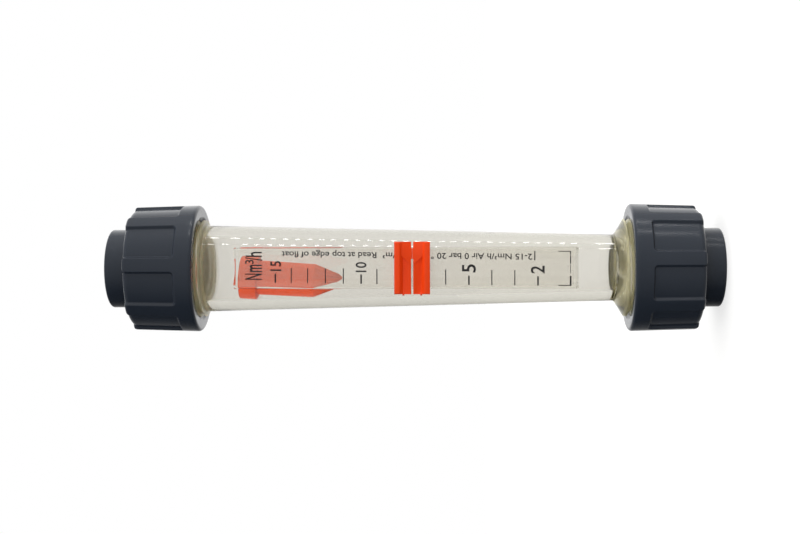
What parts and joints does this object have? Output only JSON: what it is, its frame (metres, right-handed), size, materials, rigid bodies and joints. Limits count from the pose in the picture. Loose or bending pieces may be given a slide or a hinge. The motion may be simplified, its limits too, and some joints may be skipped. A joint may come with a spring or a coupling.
{
  "type": "rotameter",
  "caption": "Variable-area flow meter: clear tapered tube with a float, a dovetail rail with scale and two setpoint sliders, and a threaded union with a pipe socket at each end.",
  "frame": {"origin": "centre of the inlet socket's end face, which the meter stands on", "axes": "+Z along the tube, the way the fluid flows, towards the high end of the scale; the scale and its rail face -Y"},
  "size_m": [0.0434, 0.0434, 0.208],
  "materials": {
    "clear_tube": "clear moulded, faint straw tint",
    "film": "clear film with black print",
    "marker": "moulded, semi-gloss orange-red",
    "float": "turned, satin orange",
    "core": "sintered magnet, nickel grey",
    "stop": "moulded, natural white",
    "seal": "moulded, matt black",
    "union": "moulded, dark blue-grey satin"
  },
  "bodies": {
    "tube": {"measuring_tube": "clear_tube", "scale_film": "film", "upper_stop": "stop", "lower_stop": "stop"},
    "float": {"float_body": "float", "float_core": "core", "float_plug": "float"},
    "upper_marker": {"upper_marker": "marker"},
    "lower_marker": {"lower_marker": "marker"},
    "upper_union": {"upper_union_end": "union", "upper_o_ring": "seal"},
    "lower_union": {"lower_union_end": "union", "lower_o_ring": "seal"},
    "upper_nut": {"upper_union_nut": "union"},
    "lower_nut": {"lower_union_nut": "union"}
  },
  "joints": [
    {"name": "float_travel", "type": "slide", "parent": "tube", "child": "float", "axis": [-0.0247, 0, 0.9997], "range_m": [-0.0975, 0.0163]},
    {"name": "upper_marker_slide", "type": "slide", "parent": "tube", "child": "upper_marker", "axis": [0, 0, 1], "range_m": [0, 0.0528]},
    {"name": "lower_marker_slide", "type": "slide", "parent": "tube", "child": "lower_marker", "axis": [0, 0, 1], "range_m": [-0.048, 0]},
    {"name": "upper_union_slide", "type": "slide", "parent": "tube", "child": "upper_union", "axis": [0, 0, 1], "range_m": [0, 0.0122]},
    {"name": "upper_nut_turn", "type": "hinge", "parent": "upper_union", "child": "upper_nut", "pos_m": [0, 0, 0.1886], "axis": [0, 0, 1], "range_deg": [0, 1890]},
    {"name": "lower_union_slide", "type": "slide", "parent": "tube", "child": "lower_union", "axis": [0, 0, -1], "range_m": [0, 0.0122]},
    {"name": "lower_nut_turn", "type": "hinge", "parent": "lower_union", "child": "lower_nut", "pos_m": [0, 0, 0.0194], "axis": [0, 0, -1], "range_deg": [0, 1890]}
  ],
  "couplings": [
    {"joint": "upper_union_slide", "follows": "upper_nut_turn", "m_per_rad": 0.00036749},
    {"joint": "lower_union_slide", "follows": "lower_nut_turn", "m_per_rad": 0.00036749}
  ]
}
